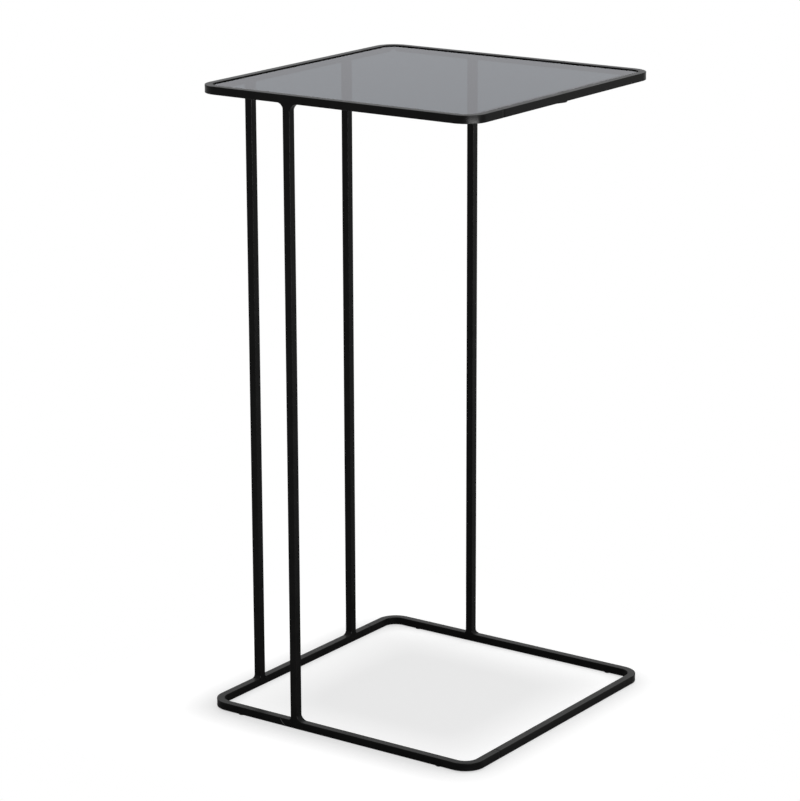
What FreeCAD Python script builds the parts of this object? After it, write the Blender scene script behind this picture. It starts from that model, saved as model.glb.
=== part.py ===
# C-shaped side table: two rings of bent square bar, four uprights and a drop-in pane of glass.
#
# Millimetres. The origin is on the floor under the middle of the table, and +Z is up.
# The spine, which has two of the uprights, is on the -X side. The open side is on the +X side:
# there the base goes under a seat and the top reaches over it. The front is on the -Y side.

import FreeCAD, Part
import math
import os
import Sketcher

# Driving sizes: name, value, meaning
SIZES = (
    ("plan_depth", 320, "outside of a ring, from the spine to the open side"),
    ("plan_width", 320, "outside of a ring, from front to back"),
    ("table_height", 636, "floor to the top of the upper ring"),
    ("bar_side", 8, "side of the square bar"),
    ("bar_arris", 0.5, "flat broken along the bar's long edges"),
    ("bend_radius", 13, "inside radius of a ring's bends"),
    ("seam_inset", 50, "outer corner to the butt weld beside it"),
    ("seam_length", 1.5, "length of the bar that a butt weld takes up"),
    ("spine_upright_inset", 80, "outer corner to the axis of a spine upright"),
    ("side_upright_inset", 108, "outside of the spine to the axis of a side upright"),
    ("weld_leg", 5, "leg of the hollow fillet beside an upright"),
    ("weld_flare", 1.22, "radius of a hollow fillet's face for each unit of its leg"),
    ("weld_apron", 4, "reach of a weld over the bar's flush face"),
    ("weld_crown", 0.2, "how far a dressed weld stands proud of the bar"),
    ("ledge_width", 12, "reach of a pane ledge into the ring"),
    ("ledge_thickness", 2, "thickness of a pane ledge"),
    ("ledge_corner", 2, "corner radius of a pane ledge"),
    ("ledge_end_gap", 1, "start of a bend to the ledge's end beside it"),
    ("stitch_length", 20, "length of a stitch weld under a ledge"),
    ("stitch_radius", 1.5, "radius of a stitch weld's half-round bead"),
    ("bumper_foot", 8, "diameter of a pane bumper on its ledge"),
    ("bumper_crown", 6.8, "diameter of a pane bumper under the glass"),
    ("bumper_height", 1, "height of a pane bumper"),
    ("bumper_inset", 75, "outer corner to a pane bumper"),
    ("pane_thickness", 4, "thickness of the glass"),
    ("pane_gap", 1, "gap between the glass and the ring"),
    ("pane_arris", 0.5, "ground edge of the glass"),
    ("pad_head", 7, "diameter of a floor pad under the bar"),
    ("pad_foot", 6, "diameter of a floor pad on the floor"),
    ("pad_height", 1, "height of a floor pad"),
    ("pad_inset", 40, "outer corner to a floor pad"),
)

# Places worked out from the driving sizes
HALF_DEPTH = "Sizes.plan_depth / 2"
HALF_WIDTH = "Sizes.plan_width / 2"
HALF_BAR = "Sizes.bar_side / 2"
BAR_FLAT = "(Sizes.bar_side - 2 * Sizes.bar_arris)"
DEPTH_AXIS = f"({HALF_DEPTH} - {HALF_BAR})"
WIDTH_AXIS = f"({HALF_WIDTH} - {HALF_BAR})"
BASE_MIDDLE = f"Sizes.pad_height + {HALF_BAR}"
BASE_TOP = "Sizes.pad_height + Sizes.bar_side"
TOP_UNDERSIDE = "Sizes.table_height - Sizes.bar_side"
TOP_MIDDLE = f"Sizes.table_height - {HALF_BAR}"
LEDGE_TOP = f"{TOP_UNDERSIDE} + Sizes.ledge_thickness"
PANE_UNDERSIDE = f"{LEDGE_TOP} + Sizes.bumper_height"
SEAM_REACH = f"({HALF_WIDTH} - Sizes.seam_inset)"
WELD_REACH = f"({HALF_BAR} + Sizes.weld_leg)"

# Directions
TO_OPEN_SIDE = FreeCAD.Vector(1, 0, 0)
TO_BACK = FreeCAD.Vector(0, 1, 0)
UP = FreeCAD.Vector(0, 0, 1)

# The four sides: the way out from the middle, and the overall sizes across the side and along it
SIDES = {
    "front": (-TO_BACK, "Sizes.plan_width", "Sizes.plan_depth"),
    "open": (TO_OPEN_SIDE, "Sizes.plan_depth", "Sizes.plan_width"),
    "back": (TO_BACK, "Sizes.plan_width", "Sizes.plan_depth"),
    "spine": (-TO_OPEN_SIDE, "Sizes.plan_depth", "Sizes.plan_width"),
}

# Ways to turn a piece from the way it is drawn, each given by where its own axes point
AS_DRAWN = FreeCAD.Rotation()
TURNED_ROUND = FreeCAD.Rotation(-TO_OPEN_SIDE, -TO_BACK, UP, "ZYX")
UPSIDE_DOWN = FreeCAD.Rotation(-TO_OPEN_SIDE, TO_BACK, -UP, "ZYX")
LYING_FACE_DOWN = FreeCAD.Rotation(-TO_BACK, -UP, TO_OPEN_SIDE, "ZYX")

doc = FreeCAD.newDocument("side_table")
sheet = doc.addObject("Spreadsheet::Sheet", "Sizes")
pieces = []


def fill_sheet():
    """Write the driving sizes into the sheet, one row each."""
    for row, (name, value, meaning) in enumerate(SIZES, start=1):
        sheet.set(f"A{row}", meaning)
        sheet.set(f"B{row}", str(value))
        sheet.setAlias(f"B{row}", name)
    doc.recompute()


def measure(expression):
    """Return what an expression comes to with the sheet's present sizes."""
    return float(sheet.evalExpression(expression))


def bind(item, **expressions):
    """Tie an object's properties to the sheet; a double underscore stands for a dot."""
    for name, expression in expressions.items():
        item.setExpression(name.replace("__", "."), expression)


def place(piece, across, along, up, turn=AS_DRAWN):
    """Turn a piece and put it at a place given by three expressions."""
    piece.Placement = FreeCAD.Placement(FreeCAD.Vector(), turn)
    bind(piece, Placement__Base__x=across, Placement__Base__y=along, Placement__Base__z=up)


def place_on_side(piece, side, inset, offset, up, turn=AS_DRAWN):
    """Put a piece on one side of the table, its own +Y facing the middle once it is turned.

    inset is the distance in from the ring's outside, and offset the distance along the side from
    its middle, to the right as seen from outside; both are expressions.
    """
    outward, size_across, _ = SIDES[side]
    rightward = UP.cross(outward)
    out = f"({size_across} / 2 - ({inset}))"
    place(
        piece,
        f"{outward.x} * {out} + {rightward.x} * ({offset})",
        f"{outward.y} * {out} + {rightward.y} * ({offset})",
        up,
        FreeCAD.Rotation(rightward, -outward, UP, "ZYX") * turn,
    )


def keep(piece, name):
    """Name a finished sub-part after its file and put it on the list of pieces."""
    piece.Label = name
    pieces.append(piece)
    return piece


def new_body(name):
    """Start a sub-part that is built up from sketches."""
    return keep(doc.addObject("PartDesign::Body", name), name)


def new_sketch(body, name, plane_role):
    """Add a sketch on one of the body's own origin planes."""
    sketch = body.newObject("Sketcher::SketchObject", name)
    plane = next(item for item in body.Origin.OriginFeatures if item.Role == plane_role)
    sketch.AttachmentSupport = [(plane, "")]
    sketch.MapMode = "FlatFace"
    return sketch


def point(x, y):
    """Return a point on a sketch."""
    return FreeCAD.Vector(x, y, 0)


def arc(centre, start, end):
    """Return the arc about a centre that runs anticlockwise from one point to another."""
    circle = Part.Circle(centre, UP, (start - centre).Length)
    angles = [math.atan2(item.y - centre.y, item.x - centre.x) for item in (start, end)]
    return Part.ArcOfCircle(circle, *angles)


def constrain(sketch, kind, *references, name=None, size=None):
    """Add a constraint; one with a size is named and tied to the sheet."""
    if size is None:
        sketch.addConstraint(Sketcher.Constraint(kind, *references))
        return
    index = sketch.addConstraint(Sketcher.Constraint(kind, *references, measure(size)))
    sketch.renameConstraint(index, name)
    sketch.setExpression(f"Constraints.{name}", size)


def draw_rounded_rectangle(sketch, across, up, corner):
    """Draw a rectangle with round corners, centred on the sketch's origin."""
    right = measure(across) / 2
    top = measure(up) / 2
    radius = measure(corner)
    inner_right = right - radius
    inner_top = top - radius
    outline = (
        Part.LineSegment(point(-inner_right, -top), point(inner_right, -top)),
        arc(point(inner_right, -inner_top), point(inner_right, -top), point(right, -inner_top)),
        Part.LineSegment(point(right, -inner_top), point(right, inner_top)),
        arc(point(inner_right, inner_top), point(right, inner_top), point(inner_right, top)),
        Part.LineSegment(point(inner_right, top), point(-inner_right, top)),
        arc(point(-inner_right, inner_top), point(-inner_right, top), point(-right, inner_top)),
        Part.LineSegment(point(-right, inner_top), point(-right, -inner_top)),
        arc(point(-inner_right, -inner_top), point(-right, -inner_top), point(-inner_right, -top)),
    )
    sketch.addGeometry(list(outline), False)
    for index in range(len(outline)):
        constrain(sketch, "Tangent", index, 2, (index + 1) % len(outline), 1)
    for index in (0, 4):
        constrain(sketch, "Horizontal", index)
    for index in (2, 6):
        constrain(sketch, "Vertical", index)
    for index in (3, 5, 7):
        constrain(sketch, "Equal", 1, index)
    constrain(sketch, "Symmetric", 1, 3, 5, 3, -1, 1)
    constrain(sketch, "Radius", 1, name="corner", size=corner)
    constrain(sketch, "DistanceX", 6, 1, 2, 1, name="across", size=across)
    constrain(sketch, "DistanceY", 0, 1, 4, 1, name="up", size=up)


def draw_bar_section(sketch):
    """Draw the square bar's section with its edges broken, centred on the sketch's origin."""
    half = measure(HALF_BAR)
    flat = half - measure("Sizes.bar_arris")
    starts = (
        point(-flat, -half),
        point(flat, -half),
        point(half, -flat),
        point(half, flat),
        point(flat, half),
        point(-flat, half),
        point(-half, flat),
        point(-half, -flat),
    )
    ends = starts[1:] + starts[:1]
    sketch.addGeometry([Part.LineSegment(start, end) for start, end in zip(starts, ends)], False)
    for index in range(len(starts)):
        constrain(sketch, "Coincident", index, 2, (index + 1) % len(starts), 1)
    bottom, right, top, left = 0, 2, 4, 6
    for edge in (bottom, top):
        constrain(sketch, "Symmetric", edge, 1, edge, 2, -2)
    for edge in (left, right):
        constrain(sketch, "Symmetric", edge, 1, edge, 2, -1)
    for edge in (right, top, left):
        constrain(sketch, "Equal", bottom, edge)
    constrain(sketch, "DistanceX", bottom, 1, bottom, 2, name="flat", size=BAR_FLAT)
    constrain(sketch, "DistanceY", bottom, 1, -1, 1, name="below", size=HALF_BAR)
    constrain(sketch, "DistanceY", -1, 1, top, 1, name="above", size=HALF_BAR)
    constrain(sketch, "DistanceX", left, 1, -1, 1, name="leftward", size=HALF_BAR)
    constrain(sketch, "DistanceX", -1, 1, right, 1, name="rightward", size=HALF_BAR)


def half_ring_end(sign):
    """Return how far a half ring's end lies from the middle, on one side of its butt weld."""
    return f"{SEAM_REACH} {sign} Sizes.seam_length / 2"


def draw_half_ring_path(sketch):
    """Draw the bar's centre line: the open side, a bend, the back, a bend, a short leg on the spine."""
    bend = f"Sizes.bend_radius + {HALF_BAR}"
    side = measure(DEPTH_AXIS)
    back = measure(WIDTH_AXIS)
    inner_side = side - measure(bend)
    inner_back = back - measure(bend)
    outline = (
        Part.LineSegment(point(side, -measure(half_ring_end("-"))), point(side, inner_back)),
        arc(point(inner_side, inner_back), point(side, inner_back), point(inner_side, back)),
        Part.LineSegment(point(inner_side, back), point(-inner_side, back)),
        arc(point(-inner_side, inner_back), point(-inner_side, back), point(-side, inner_back)),
        Part.LineSegment(point(-side, inner_back), point(-side, measure(half_ring_end("+")))),
    )
    sketch.addGeometry(list(outline), False)
    for index in range(len(outline) - 1):
        constrain(sketch, "Tangent", index, 2, index + 1, 1)
    constrain(sketch, "Vertical", 0)
    constrain(sketch, "Horizontal", 2)
    constrain(sketch, "Vertical", 4)
    constrain(sketch, "Equal", 1, 3)
    constrain(sketch, "Radius", 1, name="bend", size=bend)
    constrain(sketch, "DistanceX", -1, 1, 0, 1, name="open_axis", size=DEPTH_AXIS)
    constrain(sketch, "DistanceX", 4, 2, -1, 1, name="spine_axis", size=DEPTH_AXIS)
    constrain(sketch, "DistanceY", -1, 1, 2, 1, name="back_axis", size=WIDTH_AXIS)
    constrain(sketch, "DistanceY", 0, 1, -1, 1, name="open_end", size=half_ring_end("-"))
    constrain(sketch, "DistanceY", -1, 1, 4, 2, name="spine_end", size=half_ring_end("+"))


def make_half_ring(name, middle, turn):
    """Bend one J-shaped half of a ring: the bar's section swept along its centre line."""
    body = new_body(name)
    path = new_sketch(body, f"{name}_path", "XY_Plane")
    draw_half_ring_path(path)
    section = new_sketch(body, f"{name}_section", "XZ_Plane")
    bind(section, AttachmentOffset__Base__x=DEPTH_AXIS, AttachmentOffset__Base__z=half_ring_end("-"))
    draw_bar_section(section)
    doc.recompute()
    sweep = body.newObject("PartDesign::AdditivePipe", f"{name}_sweep")
    sweep.Profile = section
    sweep.Spine = path
    place(body, "0", "0", middle, turn)


def make_seam(name, across, along, middle):
    """Fill the gap between two half rings with a butt weld, dressed flush with the bar."""
    body = new_body(name)
    section = new_sketch(body, f"{name}_section", "XZ_Plane")
    draw_bar_section(section)
    pad = body.newObject("PartDesign::Pad", f"{name}_pad")
    pad.Profile = section
    pad.SideType = "Symmetric"
    bind(pad, Length="Sizes.seam_length")
    place(body, across, along, middle)


def make_ring(name, middle):
    """Make a ring: two equal halves, one turned half round, and the butt welds that join them."""
    make_half_ring(f"{name}_ring_back_half", middle, AS_DRAWN)
    make_half_ring(f"{name}_ring_front_half", middle, TURNED_ROUND)
    make_seam(f"{name}_ring_open_seam", DEPTH_AXIS, f"-{SEAM_REACH}", middle)
    make_seam(f"{name}_ring_spine_seam", f"-{DEPTH_AXIS}", SEAM_REACH, middle)


def draw_weld_outline(sketch):
    """Draw a weld seen square on: a hollow fillet on each side, a flat top and a round apron."""
    flare = "Sizes.weld_flare * Sizes.weld_leg"
    apron_radius = f"({WELD_REACH} ^ 2 + Sizes.weld_apron ^ 2) / (2 * Sizes.weld_apron)"
    half = measure(HALF_BAR)
    leg = measure("Sizes.weld_leg")
    reach = measure(WELD_REACH)
    centre = (leg + math.sqrt(2 * measure(flare) ** 2 - leg ** 2)) / 2
    apron_centre = measure(f"{apron_radius} - Sizes.weld_apron")
    outline = (
        arc(point(half + centre, centre), point(half, leg), point(reach, 0)),
        Part.LineSegment(point(half, leg), point(-half, leg)),
        arc(point(-half - centre, centre), point(-reach, 0), point(-half, leg)),
        arc(point(0, apron_centre), point(-reach, 0), point(reach, 0)),
    )
    sketch.addGeometry(list(outline), False)
    constrain(sketch, "Coincident", 0, 1, 1, 1)
    constrain(sketch, "Coincident", 1, 2, 2, 2)
    constrain(sketch, "Coincident", 2, 1, 3, 1)
    constrain(sketch, "Coincident", 3, 2, 0, 2)
    constrain(sketch, "Symmetric", 1, 1, 1, 2, -2)
    constrain(sketch, "PointOnObject", 3, 1, -1)
    constrain(sketch, "PointOnObject", 3, 2, -1)
    constrain(sketch, "Equal", 0, 2)
    constrain(sketch, "DistanceX", 1, 2, 1, 1, name="top_width", size="Sizes.bar_side")
    constrain(sketch, "DistanceY", -1, 1, 1, 1, name="leg", size="Sizes.weld_leg")
    constrain(sketch, "DistanceX", 3, 1, -1, 1, name="left_reach", size=WELD_REACH)
    constrain(sketch, "DistanceX", -1, 1, 3, 2, name="right_reach", size=WELD_REACH)
    constrain(sketch, "Radius", 0, name="flare", size=flare)
    constrain(sketch, "Radius", 3, name="apron", size=apron_radius)


def make_upright_weld(name, side, offset, up, inner_reach, turn):
    """Weld one end of an upright to its ring: the weld's outline, less the two bars that it joins.

    inner_reach is how far the weld goes from the bar's axis towards the middle of the table.
    """
    body = new_body(name)
    outline = new_sketch(body, f"{name}_outline", "XZ_Plane")
    draw_weld_outline(outline)
    pad = body.newObject("PartDesign::Pad", f"{name}_pad")
    pad.Profile = outline
    pad.SideType = "Two sides"
    bind(pad, Length=f"{HALF_BAR} + Sizes.weld_crown", Length2=inner_reach)

    ring_section = new_sketch(body, f"{name}_ring_section", "YZ_Plane")
    bind(ring_section, AttachmentOffset__Base__y=f"-{HALF_BAR}")
    draw_bar_section(ring_section)
    ring_cut = body.newObject("PartDesign::Pocket", f"{name}_ring_cut")
    ring_cut.Profile = ring_section
    ring_cut.Type = "ThroughAll"
    ring_cut.SideType = "Symmetric"

    upright_section = new_sketch(body, f"{name}_upright_section", "XY_Plane")
    draw_bar_section(upright_section)
    upright_cut = body.newObject("PartDesign::Pocket", f"{name}_upright_cut")
    upright_cut.Profile = upright_section
    upright_cut.Type = "ThroughAll"
    upright_cut.Reversed = True

    place_on_side(body, side, HALF_BAR, offset, up, turn)


def make_upright(name, side, offset):
    """Cut one upright to stand between the rings, flush with both, and weld its two ends."""
    body = new_body(name)
    section = new_sketch(body, f"{name}_section", "XY_Plane")
    draw_bar_section(section)
    pad = body.newObject("PartDesign::Pad", f"{name}_pad")
    pad.Profile = section
    bind(pad, Length=f"({TOP_UNDERSIDE}) - ({BASE_TOP})")
    place_on_side(body, side, HALF_BAR, offset, BASE_TOP)
    crowned = f"{HALF_BAR} + Sizes.weld_crown"
    short_of_ledge = f"{HALF_BAR} - Sizes.bar_arris"
    make_upright_weld(f"{name}_base_weld", side, offset, BASE_TOP, crowned, AS_DRAWN)
    make_upright_weld(f"{name}_top_weld", side, offset, TOP_UNDERSIDE, short_of_ledge, UPSIDE_DOWN)


def make_uprights():
    """Stand two uprights on the spine and one on each side beside it."""
    spine_offset = f"({HALF_WIDTH} - Sizes.spine_upright_inset)"
    side_offset = f"({HALF_DEPTH} - Sizes.side_upright_inset)"
    make_upright("spine_upright_front", "spine", spine_offset)
    make_upright("spine_upright_back", "spine", f"-{spine_offset}")
    make_upright("side_upright_front", "front", f"-{side_offset}")
    make_upright("side_upright_back", "back", side_offset)


def ledge_length(side):
    """Return the length of one side's ledge, which ends before the ring's bends."""
    _, _, size_along = SIDES[side]
    return f"({size_along} - 2 * (Sizes.bend_radius + Sizes.bar_side + Sizes.ledge_end_gap))"


def make_ledge(side):
    """Lay one flat strip inside the upper ring, flush with its underside."""
    name = f"{side}_ledge"
    body = new_body(name)
    outline = new_sketch(body, f"{name}_outline", "XY_Plane")
    draw_rounded_rectangle(outline, ledge_length(side), "Sizes.ledge_width", "Sizes.ledge_corner")
    pad = body.newObject("PartDesign::Pad", f"{name}_pad")
    pad.Profile = outline
    bind(pad, Length="Sizes.ledge_thickness")
    place_on_side(body, side, "Sizes.bar_side + Sizes.ledge_width / 2", "0", TOP_UNDERSIDE)


def make_group(name, members):
    """Keep identical small pieces together as one sub-part of separate solids."""
    group = doc.addObject("Part::Compound", name)
    group.Links = members
    keep(group, name)


def make_stitch_welds():
    """Hold each ledge with a short bead at both ends and one in the middle, under its joint line."""
    half_turn = math.degrees(math.pi)
    beads = []
    for side in SIDES:
        half_ledge = f"{ledge_length(side)} / 2"
        starts = (f"-{half_ledge}", "-Sizes.stitch_length / 2", f"{half_ledge} - Sizes.stitch_length")
        for start in starts:
            bead = doc.addObject("Part::Cylinder", f"{side}_stitch")
            bead.Angle = half_turn
            bind(bead, Radius="Sizes.stitch_radius", Height="Sizes.stitch_length")
            place_on_side(bead, side, "Sizes.bar_side", start, TOP_UNDERSIDE, LYING_FACE_DOWN)
            beads.append(bead)
    make_group("ledge_stitch_welds", beads)


def make_bumpers():
    """Stick two soft discs on each ledge, for the glass to lie on."""
    bumpers = []
    for side, (_, _, size_along) in SIDES.items():
        reach = f"({size_along} / 2 - Sizes.bumper_inset)"
        for offset in (f"-{reach}", reach):
            bumper = doc.addObject("Part::Cone", f"{side}_bumper")
            bind(bumper, Radius1="Sizes.bumper_foot / 2", Radius2="Sizes.bumper_crown / 2")
            bind(bumper, Height="Sizes.bumper_height")
            place_on_side(bumper, side, "Sizes.bar_side + Sizes.ledge_width / 2", offset, LEDGE_TOP)
            bumpers.append(bumper)
    make_group("pane_bumpers", bumpers)


def make_floor_pads():
    """Stick a thin disc under the base ring near each corner."""
    pads = []
    reach = f"({HALF_DEPTH} - Sizes.pad_inset)"
    for side in ("front", "back"):
        for offset in (f"-{reach}", reach):
            pad = doc.addObject("Part::Cone", f"{side}_pad")
            bind(pad, Radius1="Sizes.pad_foot / 2", Radius2="Sizes.pad_head / 2")
            bind(pad, Height="Sizes.pad_height")
            place_on_side(pad, side, HALF_BAR, offset, "0")
            pads.append(pad)
    make_group("floor_pads", pads)


def flat_faces(shape):
    """Return the names of a shape's level faces, its top and its underside."""
    return [
        f"Face{index}"
        for index, face in enumerate(shape.Faces, start=1)
        if math.isclose(abs(face.normalAt(0, 0).z), 1)
    ]


def make_pane():
    """Cut the glass to lie in the upper ring with a gap all round, and grind its edges."""
    body = new_body("glass_pane")
    outline = new_sketch(body, "glass_pane_outline", "XY_Plane")
    around = "2 * (Sizes.bar_side + Sizes.pane_gap)"
    draw_rounded_rectangle(
        outline,
        f"Sizes.plan_depth - {around}",
        f"Sizes.plan_width - {around}",
        "Sizes.bend_radius - Sizes.pane_gap",
    )
    pad = body.newObject("PartDesign::Pad", "glass_pane_pad")
    pad.Profile = outline
    bind(pad, Length="Sizes.pane_thickness")
    doc.recompute()
    chamfer = body.newObject("PartDesign::Chamfer", "glass_pane_arris")
    chamfer.Base = (pad, flat_faces(pad.Shape))
    bind(chamfer, Size="Sizes.pane_arris")
    place(body, "0", "0", PANE_UNDERSIDE)


def check_document():
    """Stop if any object failed, any sketch is loose or any piece has no sound shape."""
    doc.recompute()
    for item in doc.Objects:
        if {"Invalid", "Error"} & set(item.State):
            raise RuntimeError(f"{item.Name} failed: {item.State}")
        if item.TypeId == "Sketcher::SketchObject" and not item.FullyConstrained:
            raise RuntimeError(f"{item.Name} isn't fully constrained")
    for piece in pieces:
        if piece.Shape.isNull() or not piece.Shape.isValid() or piece.Shape.Volume <= 0:
            raise RuntimeError(f"{piece.Label} has no sound shape")


def write_pieces():
    """Write each piece to a file named after it."""
    os.makedirs("parts", exist_ok=True)
    for piece in pieces:
        piece.Shape.exportStep(f"parts/{piece.Label}.step")
        print(f"{piece.Label}: {len(piece.Shape.Solids)} solids, {piece.Shape.Volume:.1f} mm3")


fill_sheet()
make_ring("base", BASE_MIDDLE)
make_ring("top", TOP_MIDDLE)
make_uprights()
for side_name in SIDES:
    make_ledge(side_name)
make_stitch_welds()
make_bumpers()
make_floor_pads()
make_pane()
check_document()
write_pieces()
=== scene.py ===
"""Dresses the C-shaped side table: bent black bar, dressed welds and a smoked glass pane.

Metres, in the part's own frame. The origin is on the floor under the middle of the table and +Z is up.
The spine, which has two of the uprights, is on the -X side, the open side on the +X side and the front
on the -Y side.
"""
import logging
import math
from collections.abc import Sequence
from dataclasses import dataclass, field
from enum import Enum
from typing import ClassVar, NamedTuple

import bmesh
import bpy
from mathutils import Matrix, Vector, noise


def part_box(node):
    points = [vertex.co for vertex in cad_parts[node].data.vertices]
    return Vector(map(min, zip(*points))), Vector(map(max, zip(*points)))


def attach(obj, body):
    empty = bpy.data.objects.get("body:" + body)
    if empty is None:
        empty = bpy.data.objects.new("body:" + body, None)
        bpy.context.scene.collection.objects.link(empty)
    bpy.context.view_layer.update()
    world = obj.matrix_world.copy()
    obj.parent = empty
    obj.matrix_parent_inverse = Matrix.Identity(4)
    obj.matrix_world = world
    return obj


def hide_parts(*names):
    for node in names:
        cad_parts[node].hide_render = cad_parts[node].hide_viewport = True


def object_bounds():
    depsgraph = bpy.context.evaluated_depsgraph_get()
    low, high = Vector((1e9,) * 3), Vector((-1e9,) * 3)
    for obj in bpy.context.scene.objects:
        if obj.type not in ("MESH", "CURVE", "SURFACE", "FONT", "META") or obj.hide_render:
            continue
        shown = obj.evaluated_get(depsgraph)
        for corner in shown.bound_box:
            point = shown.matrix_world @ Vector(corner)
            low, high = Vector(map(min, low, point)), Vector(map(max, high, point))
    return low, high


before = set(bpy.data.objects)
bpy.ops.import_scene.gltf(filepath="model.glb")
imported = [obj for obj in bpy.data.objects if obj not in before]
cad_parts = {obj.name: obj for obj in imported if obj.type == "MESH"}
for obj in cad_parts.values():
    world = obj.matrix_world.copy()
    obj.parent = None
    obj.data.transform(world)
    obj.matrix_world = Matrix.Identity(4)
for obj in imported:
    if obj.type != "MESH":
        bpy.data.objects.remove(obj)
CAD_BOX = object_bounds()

MM = 0.001
UP = Vector((0, 0, 1))
WHITE = (1, 1, 1, 1)
log = logging.getLogger("side_table")

# What a point's share of a broken edge is where the coat takes a painted highlight
WORN = 2.0

# What the ripples in the welds start from
RIPPLE_SEED = 7

# The usual range of a cloudy pattern
GRAIN_LOW = 0.3
GRAIN_HIGH = 0.7

# The places of the sockets of a node that mixes colours
MIX_SHARE = 0
MIX_START = 6
MIX_END = 7
MIX_RESULT = 2


class Body(Enum):
    """The table's two bodies: all that is welded together, and the pane that lifts out."""

    FRAME = "frame"
    PANE = "pane"


class Slot(Enum):
    """The record's material slots."""

    STEEL = "black_powder_coat"
    GLASS = "smoked_glass"
    BUMPER = "clear_bumper"
    PAD = "floor_pad"


class Level(Enum):
    """The two rings."""

    BASE = "base"
    TOP = "top"


class Side(Enum):
    """A side of the table, given by the way out of it."""

    FRONT = (0, -1)
    OPEN = (1, 0)
    BACK = (0, 1)
    SPINE = (-1, 0)

    @property
    def label(self) -> str:
        """The side's name in the names of nodes."""
        return self.name.lower()

    @property
    def outward(self) -> Vector:
        """The way out of the table."""
        return Vector((*self.value, 0))

    @property
    def rightward(self) -> Vector:
        """The way along the side, to the right as seen from outside."""
        return UP.cross(self.outward)

    def axes_at(self, place: Vector) -> Matrix:
        """Return the axes of a piece on this side: X rightward, Y to the middle and Z up.

        Args:
            place: Where the axes start.

        Returns:
            The matrix from the piece's own axes to the part's frame.
        """
        axes = Matrix((self.rightward, -self.outward, UP)).transposed().to_4x4()
        axes.translation = place
        return axes


class SkinPoint(NamedTuple):
    """A point of a mesh, and its share of a broken edge: from 0 to 1, or above 1 where the coat takes a
    painted highlight.
    """

    place: Vector
    edge: float = 0.0


Outline = Sequence[SkinPoint]


@dataclass
class Skin:
    """A mesh while it is put together from rows of closed outlines."""

    points: list[SkinPoint] = field(default_factory=list)
    faces: list[tuple[int, ...]] = field(default_factory=list)

    def stretch(self, rows: Sequence[Outline]) -> None:
        """Stretch a skin over a row of outlines and close its two ends.

        Args:
            rows: Closed outlines with equal numbers of points, in order.
        """
        first = len(self.points)
        count = len(rows[0])
        for row in rows:
            self.points.extend(row)
        for low in range(first, first + count * (len(rows) - 1), count):
            for index in range(count):
                after = (index + 1) % count
                self.faces.append((low + index, low + after, low + count + after, low + count + index))
        last = first + count * (len(rows) - 1)
        self.faces.append(tuple(range(first, first + count)))
        self.faces.append(tuple(range(last, last + count)))

    @classmethod
    def over(cls, rows: Sequence[Outline]) -> "Skin":
        """Return a skin over one row of outlines.

        Args:
            rows: Closed outlines with equal numbers of points, in order.

        Returns:
            The skin, closed at both ends.
        """
        skin = cls()
        skin.stretch(rows)
        return skin

    def to_object(self, name: str, material: bpy.types.Material, crease: float) -> bpy.types.Object:
        """Make the mesh's object, smooth but for its creases.

        Args:
            name: The piece's name.
            material: The piece's finish.
            crease: The least angle between faces, in radians, that stays sharp.

        Returns:
            The object, linked to the scene.
        """
        mesh = bpy.data.meshes.new(name)
        mesh.from_pydata([point.place for point in self.points], [], self.faces)
        edges = mesh.attributes.new("edge", "FLOAT", "POINT")
        edges.data.foreach_set("value", [point.edge for point in self.points])
        draft = bmesh.new()
        draft.from_mesh(mesh)
        bmesh.ops.recalc_face_normals(draft, faces=draft.faces)
        draft.to_mesh(mesh)
        draft.free()
        mesh.shade_smooth()
        mesh.set_sharp_from_angle(angle=crease)
        mesh.materials.append(material)
        piece = bpy.data.objects.new(name, mesh)
        bpy.context.scene.collection.objects.link(piece)
        return piece


def dress(skin: Skin, node: str, body: Body, finish: "Finish", crease: float) -> None:
    """Put a finished skin in the place of a CAD node.

    Args:
        skin: The finished skin.
        node: The CAD node that it stands for.
        body: The body that it moves with.
        finish: The finish that it gets.
        crease: The least angle between faces, in radians, that stays sharp.
    """
    piece = skin.to_object(f"{node}_dressed", finish.material(), crease)
    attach(piece, body.value)
    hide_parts(node)
    log.info("%s: %d points, rides on %s", piece.name, len(skin.points), body.value)


def rounded_rectangle(
    low: Vector, high: Vector, radius: float, steps: int, hold: float, flat_steps: int = 1
) -> list[tuple[float, float, float]]:
    """Return a rectangle with round corners, anticlockwise.

    Args:
        low: The lowest corner, as x and y.
        high: The highest corner, as x and y.
        radius: The corners' radius.
        steps: The number of steps in a corner.
        hold: The width of the strip beside each corner that keeps the flats flat.
        flat_steps: The number of steps on a flat between two such strips.

    Returns:
        x, y and the share of a broken edge, for each point.
    """
    outline = []
    middles = (
        (high.x - radius, high.y - radius),
        (low.x + radius, high.y - radius),
        (low.x + radius, low.y + radius),
        (high.x - radius, low.y + radius),
    )
    for corner, (middle_x, middle_y) in enumerate(middles):
        start = corner * math.pi / 2
        arc = []
        for step in range(steps + 1):
            angle = start + step / steps * math.pi / 2
            edge = math.sin(step / steps * math.pi)
            arc.append((middle_x + radius * math.cos(angle), middle_y + radius * math.sin(angle), edge))
        before = (arc[0][0] + hold * math.sin(start), arc[0][1] - hold * math.cos(start), 0.0)
        end = start + math.pi / 2
        after = (arc[-1][0] - hold * math.sin(end), arc[-1][1] + hold * math.cos(end), 0.0)
        outline.extend([before, *arc, after])
    if flat_steps > 1:
        points = []
        per_corner = len(outline) // len(middles)
        for index, point in enumerate(outline):
            points.append(point)
            if (index + 1) % per_corner == 0:
                following = outline[(index + 1) % len(outline)]
                for step in range(1, flat_steps):
                    share = step / flat_steps
                    x, y = (a + share * (b - a) for a, b in zip(point[:2], following[:2]))
                    points.append((x, y, 0.0))
        outline = points
    return outline


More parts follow.
